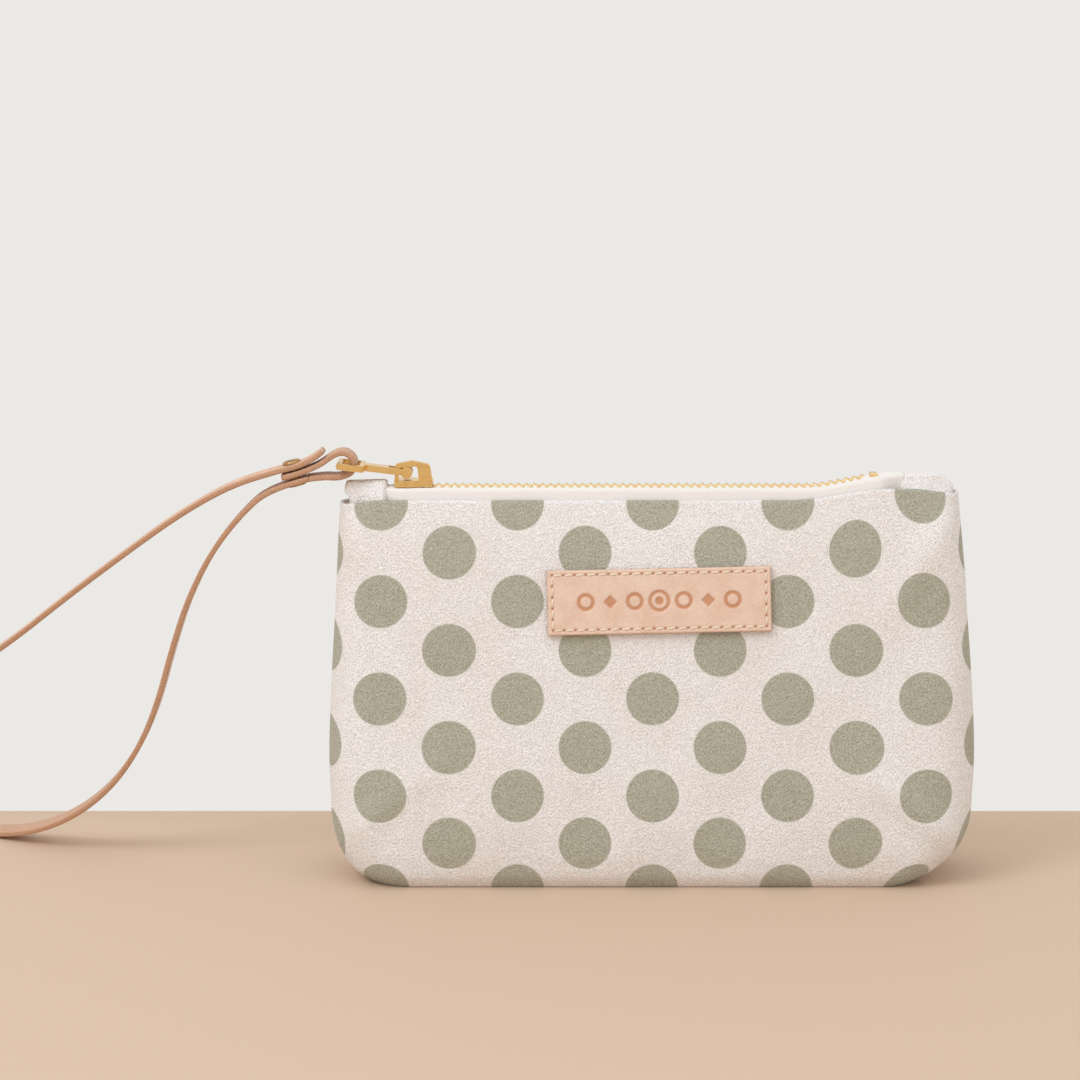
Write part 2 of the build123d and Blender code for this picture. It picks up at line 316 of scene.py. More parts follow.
def tanned_leather(name, light, dark, pores=1.5):
    """Vegetable-tanned cowhide, undyed: a close matt grain with pale and rosy clouds, and a browner cut edge."""
    material, tree, shader, place = start_material(name)
    clouds = add_node(tree, "ShaderNodeTexNoise", i0=place, Scale=0.16, Detail=5.0, Roughness=0.6)
    grain = add_node(tree, "ShaderNodeTexVoronoi", i0=place, Scale=pores, Randomness=1.0)
    fibres = add_node(tree, "ShaderNodeTexNoise", i0=place, Scale=2.5, Detail=4.0, Roughness=0.7)
    skin = ramp(tree, clouds.outputs["Fac"], 0.25, 0.75, linear(dark), linear(light))
    speck = add_node(
        tree, "ShaderNodeMix", {"data_type": "RGBA", "blend_type": "MULTIPLY"}, i0=0.35, i6=skin,
        i7=ramp(tree, fibres.outputs["Fac"], 0.35, 0.6, linear("#D9C3B0"), linear("#FFFFFF")),
    )
    raw = ramp(tree, fibres.outputs["Fac"], 0.3, 0.7, linear("#A97C5A"), linear("#CDA182"))
    worn = add_node(
        tree, "ShaderNodeMix", {"data_type": "RGBA"}, i0=read_attribute(tree, "raw"), i6=speck.outputs[2], i7=raw
    )
    pressed = read_attribute(tree, "pressed")
    stamp = add_node(
        tree, "ShaderNodeMix", {"data_type": "RGBA", "blend_type": "MULTIPLY"}, i0=pressed, i6=worn.outputs[2], i7=linear("#E2BCA0")
    )
    height = add_node(
        tree, "ShaderNodeMath", {"operation": "MULTIPLY_ADD"}, i0=fibres.outputs["Fac"], i1=0.5,
        i2=grain.outputs["Distance"]
    )
    deep = add_node(tree, "ShaderNodeMath", {"operation": "MULTIPLY_ADD"}, i0=pressed, i1=-3.0, i2=height.outputs[0])
    bump = add_node(tree, "ShaderNodeBump", Strength=0.5, Distance=0.00008, Height=deep.outputs[0])
    tree.links.new(stamp.outputs[2], shader.inputs["Base Color"])
    tree.links.new(bump.outputs[0], shader.inputs["Normal"])
    gloss = add_node(tree, "ShaderNodeMapRange", Value=clouds.outputs["Fac"], To_Min=0.5, To_Max=0.68)
    tree.links.new(gloss.outputs[0], shader.inputs["Roughness"])
    shader.inputs["IOR"].default_value = 1.47
    return material


def waxed_thread():
    """Waxed cotton thread of two plies: a faint twist and a soft shine."""
    material, tree, shader, place = start_material("waxed_thread")
    twist = add_node(tree, "ShaderNodeTexWave", {"bands_direction": "DIAGONAL"}, i0=place, Scale=1.1, Distortion=0.4)
    tree.links.new(
        ramp(tree, twist.outputs["Fac"], 0.1, 0.9, linear("#D8C3A4"), linear("#F6ECDB")), shader.inputs["Base Color"]
    )
    bump = add_node(tree, "ShaderNodeBump", Strength=0.5, Distance=0.00006, Height=twist.outputs["Fac"])
    tree.links.new(bump.outputs[0], shader.inputs["Normal"])
    shader.inputs["Roughness"].default_value = 0.6
    return material


# ------------------------------------------------------------------ the body's shape, in millimetres

# height, half length, half depth and corner radius
STATIONS = np.array([
    (0.0, 89.0, 18.5, 14.0),
    (3.0, 93.0, 20.6, 15.0),
    (8.0, 96.5, 21.7, 16.0),
    (16.0, 99.0, 22.0, 16.0),
    (30.0, 100.0, 21.0, 16.0),
    (60.0, 99.6, 17.0, 13.5),
    (90.0, 98.4, 12.9, 11.0),
    (110.0, 97.6, 9.6, 8.5),
    (121.0, 97.0, 7.2, 6.4),
])
TOP_EDGE = 121.0


def station_at(height):
    """Half length, half depth and corner radius at a height, on a smooth curve through the stations."""
    heights = STATIONS[:, 0]
    i = int(np.clip(np.searchsorted(heights, height) - 1, 0, len(heights) - 2))
    slopes = np.gradient(STATIONS[:, 1:], heights, axis=0)
    step = heights[i + 1] - heights[i]
    t = (height - heights[i]) / step
    start, end = STATIONS[i, 1:], STATIONS[i + 1, 1:]
    return (
        (2 * t**3 - 3 * t**2 + 1) * start
        + (t**3 - 2 * t**2 + t) * step * slopes[i]
        + (3 * t**2 - 2 * t**3) * end
        + (t**3 - t**2) * step * slopes[i + 1]
    )


def half_section(length, depth, corner, along):
    """Points round the front half of a section, from the left seam to the right, and each one's place
    along the cloth, measured from the middle."""
    straight = length - corner
    side = depth - corner
    quarter = corner * math.pi / 2
    reach = straight + quarter + side
    place = along * reach
    away = np.abs(place)
    angle = np.clip((away - straight) / max(corner, 1e-6), 0, math.pi / 2)
    x = np.where(away <= straight, away, straight + corner * np.sin(angle))
    y = np.where(away <= straight, -depth, -depth + corner * (1 - np.cos(angle)))
    y = np.where(away > straight + quarter, -side + (away - straight - quarter), y)
    x = np.where(away > straight + quarter, length, x)
    return np.sign(place) * x, np.minimum(y, 0.0), place


def softness(x, z, seed):
    """How far the cloth stands out or in from its pattern, in millimetres."""
    rng = random.Random(seed)
    swell = np.zeros_like(x)
    for _ in range(7):
        fx, fz = rng.uniform(0.012, 0.05), rng.uniform(0.015, 0.055)
        swell += 0.11 * np.sin(fx * x * math.tau / 2 + rng.uniform(0, 6.3)) * np.sin(fz * z * math.tau / 2 + rng.uniform(0, 6.3))
    folds = 0.0
    for cx, cz, lean, reach, height in (
        (82, 24, 0.9, 26, 1.5), (-86, 24, -0.9, 24, 1.1), (86, 104, -0.6, 20, 1.3), (-90, 104, 0.5, 16, 0.7)
    ):
        across = (x - cx) * math.cos(lean) + (z - cz) * math.sin(lean)
        along = -(x - cx) * math.sin(lean) + (z - cz) * math.cos(lean)
        folds = folds + height * np.exp(-((across / 5.0) ** 2)) * np.exp(-((along / reach) ** 2))
    near_label = np.exp(-(((x - 2) / 46) ** 4) - ((z - 90) / 17) ** 4)
    low = np.clip(z / 10, 0, 1)
    high = np.clip((TOP_EDGE - z) / 8, 0, 1)
    return (swell + folds) * low * high * (1 - 0.9 * near_label)


def eased(share):
    """Runs smoothly from 0 to 1 as share does."""
    t = np.clip(share, 0, 1)
    return t * t * (3 - 2 * t)


def edge_lift(x):
    """How far the canvas's top edge stands above its usual height: bowed up near the closed end of the
    zipper, with a low corner at the open one."""
    return 3.6 * eased((x - 42) / 32) - 1.6 * eased((x - 80) / 16) - 1.5 * eased((-x - 84) / 14)


def end_swell(x, height):
    """How far the filled ends stand out sideways, most at a third of the height, and drawn in at the top."""
    full = math.exp(-(((height - 42) / 40) ** 2)) * min(1.0, height / 12)
    drawn = 1.4 * max(0.0, (height - 95) / 26)
    return np.clip((x - 50) / 45, 0, 1) * (1.9 * full - drawn) - np.clip((-x - 50) / 45, 0, 1) * (0.9 * full + 0.5)


def chain_lift(x):
    """How far the zipper chain bows up towards its closed end."""
    return 4.0 * eased((x - 48) / 28)


# ------------------------------------------------------------------ the print, in millimetres along the cloth


# A plain spot repeat: the step between columns, the step down a column, and the size of a spot.
COLUMN_STEP = 21.0
SPOT_STEP = 30.0
SPOT_RADIUS = 8.2


def print_distance(u, v):
    """Signed distance to the nearest spot of a plain half-drop repeat: even columns of equal spots, with every
    other column half a step lower."""
    column = np.round(u / COLUMN_STEP)
    drop = np.where(column % 2 == 0, 0.0, SPOT_STEP / 2)
    row = np.round((v - drop) / SPOT_STEP)
    return np.hypot(u - column * COLUMN_STEP, v - drop - row * SPOT_STEP) - SPOT_RADIUS


# ------------------------------------------------------------------ canvas


def cloth_panel(name, side, inset=0.0, rim=TOP_EDGE, fine=True):
    """One panel with its half of the base, from the top edge to the seam under the pouch. Side is -1 for the
    front and 1 for the back, and inset draws it in, for the lining."""
    dense = (40, 151, 114) if fine else (14, 41, 30)
    end = np.linspace(-1, -0.78, dense[0], endpoint=False)
    along = np.concatenate([end, np.linspace(-0.78, 0.78, dense[1]), -end[::-1]])
    heights = np.concatenate([[0.0, 0.5, 1.2, 2.1], np.linspace(3.2, rim, dense[2])])
    rows, ink = [], []
    for share in np.linspace(0, 0.96, 12):
        length, depth, corner = station_at(0.0) - inset
        x, y, place = half_section(length, depth, corner, along)
        x = x - 6.0 * np.clip((x - 55) / 40, 0, 1)
        rows.append(np.stack([x, y * share, np.full_like(x, inset + 0.05 + 0.25 * (1 - share))], 1))
        ink.append(print_distance(place, np.full_like(x, -depth * (1 - share))))
    for height in heights:
        length, depth, corner = station_at(height) - inset
        x, y, place = half_section(length, depth, corner, along)
        out = softness(place, np.full_like(x, height), 11 + side) if fine else 0.0
        shape = np.clip(np.abs(y) / depth, 0, 1)
        seam = np.clip(1 - np.abs(y) / 1.6, 0, 1) * np.clip(height / 10, 0, 1)
        x = x - np.sign(x) * 0.55 * seam**2 - 6.0 * np.clip(1 - height / 20, 0, 1) ** 2 * np.clip((x - 55) / 40, 0, 1)
        x = x + end_swell(x, height)
        lift = edge_lift(x) * np.clip((height - 82) / 39, 0, 1) ** 1.5
        z = max(height, inset + 0.05) + lift
        rows.append(np.stack([x, y - out * shape, np.full_like(x, 0.0) + z], 1))
        ink.append(print_distance(place, np.full_like(x, height)))
    across = len(along)
    points = np.concatenate(rows) * MM
    points[:, 1] *= -side
    faces = []
    for r in range(len(rows) - 1):
        for c in range(across - 1):
            a = r * across + c
            quad = (a, a + 1, a + across + 1, a + across)
            faces.append(quad if side < 0 else quad[::-1])
    piece = mesh_object(name, points, faces)
    attribute(piece, "ink", np.concatenate(ink))
    shape = bmesh.new()
    shape.from_mesh(piece.data)
    bmesh.ops.remove_doubles(shape, verts=shape.verts, dist=1e-6)
    shape.to_mesh(piece.data)
    shape.free()
    wall = piece.modifiers.new("wall", "SOLIDIFY")
    wall.thickness = settings().canvas_thickness if fine else 0.5 * MM
    wall.offset = -1.0
    wall.use_rim = True
    return bake(piece)


class POUCH_OT_canvas(bpy.types.Operator):
    """Makes the printed front and back panels and finishes the lining"""

    bl_idname = "pouch.canvas"
    bl_label = "Canvas Panels"

    def execute(self, context):
        cloth = printed_canvas(settings().cloth_colour, settings().ink_colour)
        lining = plain_lining()
        for name, side in (("front", -1), ("back", 1)):
            for layer, inset, rim, finish in (
                ("canvas", 0.0, TOP_EDGE, cloth), ("lining", 1.7, TOP_EDGE - 1, lining)
            ):
                panel = cloth_panel(f"{layer}_{name}", side, inset, rim, fine=layer == "canvas")
                clothe(panel, finish)
                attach(panel, "pouch")
                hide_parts(f"outer_{name}" if layer == "canvas" else f"lining_{name}")
        return {"FINISHED"}


# ------------------------------------------------------------------ end tabs


def folded_tab(name, outline, half, seed):
    """A folded end of canvas: its outline seen from the front, with rolled edges and a soft crease."""
    rng = random.Random(seed)
    rounded = []
    count = len(outline)
    for i in range(count):
        before, corner, after = (np.array(outline[(i + k) % count]) for k in (-1, 0, 1))
        start = corner + (before - corner) * min(0.4, 1.2 / np.linalg.norm(before - corner))
        end = corner + (after - corner) * min(0.4, 1.2 / np.linalg.norm(after - corner))
        for t in np.linspace(0, 1, 6):
            rounded.append((1 - t) ** 2 * start + 2 * t * (1 - t) * corner + t**2 * end)
        following = np.array(outline[(i + 1) % count])
        ahead = following + (corner - following) * min(0.4, 1.2 / np.linalg.norm(corner - following))
        rounded += [end + (ahead - end) * t for t in np.linspace(0, 1, 9)[1:-1]]
    middle = np.mean(rounded, axis=0)
    phase = rng.uniform(0, 6)
    points, faces = [], []
    arc = [(math.sin(a), 1 - 0.16 * abs(math.sin(a)) ** 6) for a in np.linspace(-math.pi / 2, math.pi / 2, 15)]
    slices = [(-1.0, k) for k in (0.2, 0.45, 0.68, 0.8)] + arc + [(1.0, k) for k in (0.8, 0.68, 0.45, 0.2)]
    for share, shrink in slices:
        for x, z in rounded:
            x, z = middle[0] + (x - middle[0]) * shrink, middle[1] + (z - middle[1]) * (0.4 + 0.6 * shrink)
            ripple = 0.14 * math.sin(0.8 * x + phase) * math.sin(0.5 * z + 3 * share)
            depth = half * (1 - 0.6 * eased((z - 120.5) / 8)) * (1 - 0.5 * eased((abs(x) - 85) / 11))
            points.append((x, depth * share + ripple, z))
    across = len(rounded)
    for i in range(len(slices) - 1):
        for c in range(across):
            d = (c + 1) % across
            faces.append((i * across + c, i * across + d, (i + 1) * across + d, (i + 1) * across + c))
    for i in (0, len(slices) - 1):
        points.append(tuple(np.mean(points[i * across : (i + 1) * across], axis=0)))
        faces += [(i * across + c, i * across + (c + 1) % across, len(points) - 1) for c in range(across)]
    piece = mesh_object(name, [Vector(p) * MM for p in points], faces)
    face_outwards(piece)
    return piece


class POUCH_OT_tabs(bpy.types.Operator):
    """Makes the folded cloth tabs at the zipper's ends"""

    bl_idname = "pouch.tabs"
    bl_label = "End Tabs"

    def execute(self, context):
        cloth = printed_canvas(settings().cloth_colour, settings().ink_colour, printed=False)
        outlines = {
            "end_tab_left": [
                (-94.6, 112.0), (-94.6, 121.6), (-96.2, 122.7), (-95.7, 126.2), (-82.6, 126.4), (-82.6, 112.0)
            ],
            "end_tab_right": [(77.2, 112.0), (77.2, 128.5), (90.4, 128.5), (94.2, 125.0), (93.6, 112.0)],
        }
        for node, outline in outlines.items():
            tab = folded_tab(node + "_cloth", outline, 6.7, 4)
            clothe(tab, cloth)
            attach(tab, "pouch")
            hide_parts(node)
        return {"FINISHED"}


# ------------------------------------------------------------------ repeated pieces


def repeat_tree(name, source, material, pitch):
    """A Geometry Nodes tree that sets a copy of source at every pitch along the path that it is given."""
    tree = bpy.data.node_groups.new(name, "GeometryNodeTree")
    tree.interface.new_socket("Geometry", in_out="INPUT", socket_type="NodeSocketGeometry")
    spacing = tree.interface.new_socket("Pitch", in_out="INPUT", socket_type="NodeSocketFloat")
    spacing.default_value = pitch
    tree.interface.new_socket("Geometry", in_out="OUTPUT", socket_type="NodeSocketGeometry")
    group_in = add_node(tree, "NodeGroupInput")
    line = add_node(tree, "GeometryNodeMeshToCurve", Mesh=group_in.outputs[0])
    spots = add_node(
        tree, "GeometryNodeCurveToPoints", {"mode": "LENGTH"}, Curve=line.outputs[0], Length=group_in.outputs[1]
    )
    shape = add_node(tree, "GeometryNodeObjectInfo", {"transform_space": "ORIGINAL"}, Object=source)
    copies = add_node(
        tree, "GeometryNodeInstanceOnPoints", Points=spots.outputs["Points"], Instance=shape.outputs["Geometry"]
    )
    real = add_node(tree, "GeometryNodeRealizeInstances", Geometry=copies.outputs[0])
    finish = add_node(tree, "GeometryNodeSetMaterial", Geometry=real.outputs[0], Material=material)
    group_out = add_node(tree, "NodeGroupOutput")
    tree.links.new(finish.outputs[0], group_out.inputs[0])
    return tree, spacing.identifier


def repeat_along(name, path, source, material, pitch):
    """Copies of source along a path of points, as one plain mesh; source is removed."""
    mesh = bpy.data.meshes.new(name)
    mesh.from_pydata([tuple(p) for p in path], [(i, i + 1) for i in range(len(path) - 1)], [])
    piece = bpy.data.objects.new(name, mesh)
    bpy.context.scene.collection.objects.link(piece)
    tree, pitch_socket = repeat_tree(name, source, material, pitch)
    repeat = piece.modifiers.new("repeat", "NODES")
    repeat.node_group = tree
    repeat[pitch_socket] = pitch
    bake(piece)
    bpy.data.objects.remove(source)
    clothe(piece, material)
    return piece


def join(name, pieces):
    """Several pieces as one mesh with the first one's material."""
    shape = bmesh.new()
    for piece in pieces:
        shape.from_mesh(piece.data)
    material = pieces[0].data.materials[0]
    for piece in pieces:
        bpy.data.objects.remove(piece)
    whole = shape_object(name, shape)
    clothe(whole, material)
    return whole


def tooth_shape(side):
    """One tooth: jaws that hold the tape's cord, and a rounded nose that reaches the middle."""
    shape = bmesh.new()
    bmesh.ops.create_cube(shape, size=1.0)
    for v in shape.verts:
        v.co = Vector((v.co.x * 1.2, v.co.y * 3.1, v.co.z * 2.15))
    bmesh.ops.bevel(shape, geom=shape.edges[:], offset=0.32, segments=2, profile=0.5, affect="EDGES")
    for v in shape.verts:
        y = v.co.y * -side
        v.co.x *= 1.0 - 0.22 * max(0.0, -y) / 1.5
        v.co.z *= 1.0 - 0.18 * max(0.0, y) / 1.5
        v.co *= MM
    return shape_object("tooth_shape", shape)


# Half of a tape's section, in millimetres: y outwards from the chain, and z. The corded edge comes between.
TAPE_ABOVE = [(7.88, 113.0), (6.13, 121.05), (5.9, 123.35), (5.1, 124.25), (2.0, 124.28)]
TAPE_BELOW = [(2.0, 123.72), (4.75, 123.68), (5.32, 123.05), (5.57, 120.95), (7.32, 113.0)]


TAPE_START, TAPE_END, TAPE_FOOT = -84.4, 78.8, 113.0


def tape_strip(name, side):
    """One tape, from its sewn edge inside the canvas to its cord in the chain, bowed up with the chain."""
    cord = [(1.3 + 0.7 * math.cos(a), 124.0 + 0.7 * math.sin(a)) for a in np.radians(np.linspace(35, 325, 12))]
    outline = TAPE_ABOVE + cord + TAPE_BELOW
    across = len(outline)
    stops = np.linspace(TAPE_START, TAPE_END, 140)
    points, faces = [], []
    for x in stops:
        for y, z in outline:
            held = min(1.0, (z - TAPE_FOOT) / 8.0)
            ripple = 0.12 * math.sin(0.21 * x + side) * held
            pinch = 1 - 0.5 * eased((x - 70) / 8) - 0.35 * eased((-x - 79) / 5) if y > 2 else 1.0
            points.append((x * MM, side * (y * pinch + ripple * (y > 3)) * MM, (z + chain_lift(x) * held) * MM))
    for i in range(len(stops) - 1):
        for c in range(across):
            d = (c + 1) % across
            faces.append((i * across + c, i * across + d, (i + 1) * across + d, (i + 1) * across + c))
    last = (len(stops) - 1) * across
    faces.append(tuple(range(across))[::-1])
    faces.append(tuple(range(last, last + across)))
    piece = mesh_object(name, points, faces)
    face_outwards(piece)
    return piece


def stop_shape():
    """The bottom stop: a pinched staple of brass round both cords."""
    shape = bmesh.new()
    bmesh.ops.create_cube(shape, size=1.0)
    bmesh.ops.subdivide_edges(shape, edges=shape.edges[:], cuts=2, use_grid_fill=True)
    for v in shape.verts:
        waist = 1.0 - 0.18 * (1 - min(1.0, abs(v.co.y) * 3))
        v.co = Vector((v.co.x * 2.4, v.co.y * 5.2, v.co.z * 2.5 * waist))
    corners = [e for e in shape.edges if len(e.link_faces) == 2 and e.calc_face_angle() > 1.0]
    bmesh.ops.bevel(shape, geom=corners, offset=0.4, segments=3, profile=0.5, affect="EDGES")
    for v in shape.verts:
        v.co = (v.co + Vector((69.2, 0, 124.0 + float(chain_lift(69.2))))) * MM
    return shape_object("bottom_stop_staple", shape)


class POUCH_OT_zipper(bpy.types.Operator):
    """Makes the zipper's tapes, teeth and bottom stop, and finishes its top stops, slider and puller"""

    bl_idname = "pouch.zipper"
    bl_label = "Zipper"

    def execute(self, context):
        brass = satin_brass("satin_brass", "#F2D190", "#E8C17C", 0.22, 0.3)
        cotton = woven_tape()
        pieces = []
        for name, side in (("front", -1), ("back", 1)):
            low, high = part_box(f"zip_teeth_{name}")
            middle = (low[1] + high[1]) / 2
            height = (low[2] + high[2]) / 2
            stops = np.arange(low[0] + 0.0006, high[0], 0.0025)
            path = [(x, middle, height + float(chain_lift(x / MM)) * MM) for x in stops]
            teeth = repeat_along(f"teeth_{name}", path, tooth_shape(side), brass, settings().tooth_pitch)
            tape = tape_strip(f"tape_{name}", side)
            clothe(tape, cotton)
            pieces += [(teeth, f"zip_teeth_{name}", "brass"), (tape, f"zip_tape_{name}", "tape")]
        staple = stop_shape()
        clothe(staple, brass)
        pieces.append((staple, "bottom_stop", "brass"))
        for piece, node, finish in pieces:
            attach(piece, "pouch")
            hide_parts(node)
            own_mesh(piece)
        for node in ("top_stop_front", "top_stop_back", "slider_body", "slider_bridge", "puller"):
            clothe(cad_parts[node], brass)
        return {"FINISHED"}


# ------------------------------------------------------------------ strap

# The strip's route, in millimetres: its long run, and the tail that goes round the ring's bar.
HANDLE_ROUTE = [
    (-107.0, 0.0, 127.1), (-119.0, 0.0, 124.17), (-128.4, 1.4, 115.9), (-138.6, 4.2, 102.8),
    (-146.6, 7.0, 87.0), (-152.2, 9.2, 70.4), (-157.0, 11.1, 53.6), (-163.4, 13.9, 38.4),
    (-173.0, 18.6, 24.2), (-186.0, 25.8, 12.6), (-201.0, 34.8, 4.6), (-216.5, 44.2, 1.0),
    (-231.0, 52.4, 1.1), (-243.6, 58.6, 10.0), (-248.6, 61.0, 25.0), (-243.4, 58.6, 40.4),
    (-229.6, 52.0, 52.4), (-209.0, 39.8, 67.0), (-187.6, 26.6, 84.8), (-166.6, 15.6, 101.2),
    (-148.6, 7.8, 114.6), (-132.6, 2.8, 124.2), (-118.8, 0.1, 129.04), (-107.3, 0.0, 131.84),
    (-102.7, 0.0, 135.7),
]
TAIL_ROUTE = [
    (-106.9, 0.0, 127.1), (-102.3, 0.0, 127.75), (-97.6, 0.0, 127.35), (-92.9, 0.0, 129.2),
    (-92.8, 0.0, 133.7), (-97.5, 0.0, 136.15), (-105.6, 0.0, 129.81), (-115.5, 0.0, 127.4),
]


def smooth_route(name, route):
    """Points along the smooth line that the route steers."""
    curve = bpy.data.curves.new(name, "CURVE")
    curve.dimensions = "3D"
    curve.resolution_u = 14
    spline = curve.splines.new("NURBS")
    spline.points.add(len(route) - 1)
    for point, (x, y, z) in zip(spline.points, route):
        point.co = (x * MM, y * MM, z * MM, 1.0)
    spline.order_u = 3
    spline.use_endpoint_u = True
    holder = bpy.data.objects.new(name, curve)
    bpy.context.scene.collection.objects.link(holder)
    bpy.context.view_layer.update()
    mesh = bpy.data.meshes.new_from_object(holder.evaluated_get(bpy.context.evaluated_depsgraph_get()))
    points = [v.co.copy() for v in mesh.vertices]
    bpy.data.meshes.remove(mesh)
    bpy.data.objects.remove(holder)
    return points


def leather_strip(name, points, width, thickness):
    """A flat strip that follows points, with its width held level, eased edges and closed ends."""
    half, thin, ease = width / 2, thickness / 2, thickness * 0.28
    ring = []
    for sy, sz in ((1, 1), (-1, 1), (-1, -1), (1, -1)):
        turn = [0, 30, 60, 90]
        for a in turn if sy * sz > 0 else turn[::-1]:
            c, s = math.cos(math.radians(a)), math.sin(math.radians(a))
            ring.append((sy * (half - ease + ease * c), sz * (thin - ease + ease * s)))
        if abs(ring[-1][1]) > thin * 0.99:
            inward = [0.75, 0.25, -0.25, -0.75] if sy > 0 else []
            ring += [(f * half, ring[-1][1]) for f in inward]
    across = len(ring)
    verts, raw, faces = [], [], []
    for i, point in enumerate(points):
        before, after = points[max(i - 1, 0)], points[min(i + 1, len(points) - 1)]
        tangent = (after - before).normalized()
        level = (Vector((0, 1, 0)) - tangent * tangent.y).normalized()
        normal = tangent.cross(level)
        for w, h in ring:
            verts.append(point + level * w + normal * h)
            raw.append(min(1.0, max(0.0, (abs(w) - half + 0.0009) / 0.0006)))
    for i in range(len(points) - 1):
        for c in range(across):
            d = (c + 1) % across
            faces.append((i * across + c, i * across + d, (i + 1) * across + d, (i + 1) * across + c))
    last = (len(points) - 1) * across
    faces.append(tuple(range(across))[::-1])
    faces.append(tuple(range(last, last + across)))
    piece = mesh_object(name, verts, faces)
    attribute(piece, "raw", raw)
    face_outwards(piece)
    return piece


class POUCH_OT_strap(bpy.types.Operator):
    """Makes the leather wrist strap with its riveted end"""

    bl_idname = "pouch.strap"
    bl_label = "Wrist Strap"

    def execute(self, context):
        leather = tanned_leather("veg_tan_strap", settings().leather_colour, "#CFA283")
        rivet = satin_brass("antique_brass", "#C39C68", "#7A5733", 0.36, 0.2)
        width, thickness = settings().strap_width, settings().strap_thickness
        tail_points = smooth_route("tail_line", TAIL_ROUTE)
        tail = leather_strip("strap_tail", tail_points, width, thickness)
        clothe(tail, leather)
        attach(tail, "strap")
        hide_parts("strap_tail_loop")
        points = smooth_route("handle_line", HANDLE_ROUTE)
        handle = leather_strip("strap_loop", points, width, thickness)
        clothe(handle, leather)
        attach(handle, "strap")
        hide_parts("strap_handle")
        for node in ("rivet_post", "rivet_cap"):
            clothe(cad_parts[node], rivet)
        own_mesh(handle)
        return {"FINISHED"}


# ------------------------------------------------------------------ label

LABEL_ORIGIN = Vector((0.0020, -0.0132, 0.0903))
LABEL_LEAN = math.radians(9.0)
LABEL_TURN = math.radians(1.2)
LABEL_THICKNESS = 1.5 * MM
LABEL_OUT = Vector((0, -math.cos(LABEL_LEAN), math.sin(LABEL_LEAN)))
LABEL_RIGHT = Vector(
    (math.cos(LABEL_TURN), math.sin(LABEL_TURN) * math.sin(LABEL_LEAN), math.sin(LABEL_TURN) * math.cos(LABEL_LEAN))
)
LABEL_UP = LABEL_OUT.cross(LABEL_RIGHT)


STITCH_INSET = 1.55 * MM


def stitch_step(half):
    """The stitch spacing nearest to the chosen one that divides a row of that half length evenly."""
    return 2 * half / round(2 * half / settings().stitch_pitch)


def on_label(u, v, out):
    """A point on the label: u to the right and v up from its middle, out from its back, in metres."""
    return LABEL_ORIGIN + LABEL_RIGHT * u + LABEL_UP * v + LABEL_OUT * out


def stamped_motif(u, v):
    """Signed distance, in millimetres, to a plain stamped row of rings, bars and diamonds."""
    far = []
    for i, kind in enumerate("odohodo"):
        cx = (i - 3) * 7.6
        if kind == "o":
            far.append(np.abs(np.hypot(u - cx, v) - 2.2) - 0.55)
        elif kind == "d":
            far.append((np.abs(u - cx) + np.abs(v)) * 0.707 - 1.5)
        else:
            far.append(np.minimum(np.abs(np.hypot(u - cx, v) - 2.9) - 0.5, np.hypot(u - cx, v) - 1.3))
    return np.minimum.reduce(far)


def label_plate(width, height):
    """The label's leather, with eased edges, a stitching groove and a stamped row."""
    columns = np.linspace(-width / 2, width / 2, 221)
    rows = np.linspace(-height / 2, height / 2, 66)
    u, v = np.meshgrid(columns, rows)
    edge = np.minimum(width / 2 - np.abs(u), height / 2 - np.abs(v)) / MM
    stamp = np.clip(0.5 - stamped_motif(u / MM, v / MM) / 0.35, 0, 1)
    groove = np.clip(1 - np.abs(edge - 1.55) / 0.45, 0, 1)
    ease = np.clip(1 - edge / 0.5, 0, 1) ** 2
    a, b = width / 2 - STITCH_INSET, height / 2 - STITCH_INSET
    step_u, step_v = stitch_step(a), stitch_step(b)
    near_u = np.abs((u + a + step_u / 2) % step_u - step_u / 2)
    near_v = np.abs((v + b + step_v / 2) % step_v - step_v / 2)
    on_rows = np.hypot(near_u, np.abs(v) - b) + 0.01 * (np.abs(u) > a + 0.4 * MM)
    on_ends = np.hypot(near_v, np.abs(u) - a) + 0.01 * (np.abs(v) > b + 0.4 * MM)
    holes = np.clip(1.6 - np.minimum(on_rows, on_ends) / (0.3 * MM), 0, 1)
    out = LABEL_THICKNESS - MM * (0.32 * ease + 0.16 * groove + 0.2 * stamp + 0.25 * holes)
    front = [on_label(a, b, c) for a, b, c in zip(u.ravel(), v.ravel(), out.ravel())]
    wide, tall = len(columns), len(rows)
    faces = [
        (r * wide + c, r * wide + c + 1, (r + 1) * wide + c + 1, (r + 1) * wide + c) for r in range(tall - 1) for c in range(wide - 1)
    ]
    rim = [c for c in range(wide)] + [r * wide + wide - 1 for r in range(1, tall)]
    rim += [(tall - 1) * wide + c for c in range(wide - 2, -1, -1)] + [r * wide for r in range(tall - 2, 0, -1)]
    back = [on_label(u.ravel()[i], v.ravel()[i], 0.0) for i in rim]
    first = len(front)
    count = len(rim)
    for i in range(count):
        j = (i + 1) % count
        faces.append((rim[j], rim[i], first + i, first + j))
    faces.append(tuple(range(first + count - 1, first - 1, -1)))
    piece = mesh_object("label_leather", front + back, faces)
    raw = np.concatenate([np.maximum(np.clip(1 - edge / 0.25, 0, 1) * 0.6, holes * 1.6).ravel(), np.ones(count)])
    pressed = np.concatenate([np.maximum(stamp, 0.45 * groove).ravel(), np.zeros(count)])
    attribute(piece, "raw", raw)
    attribute(piece, "pressed", pressed)
    return piece


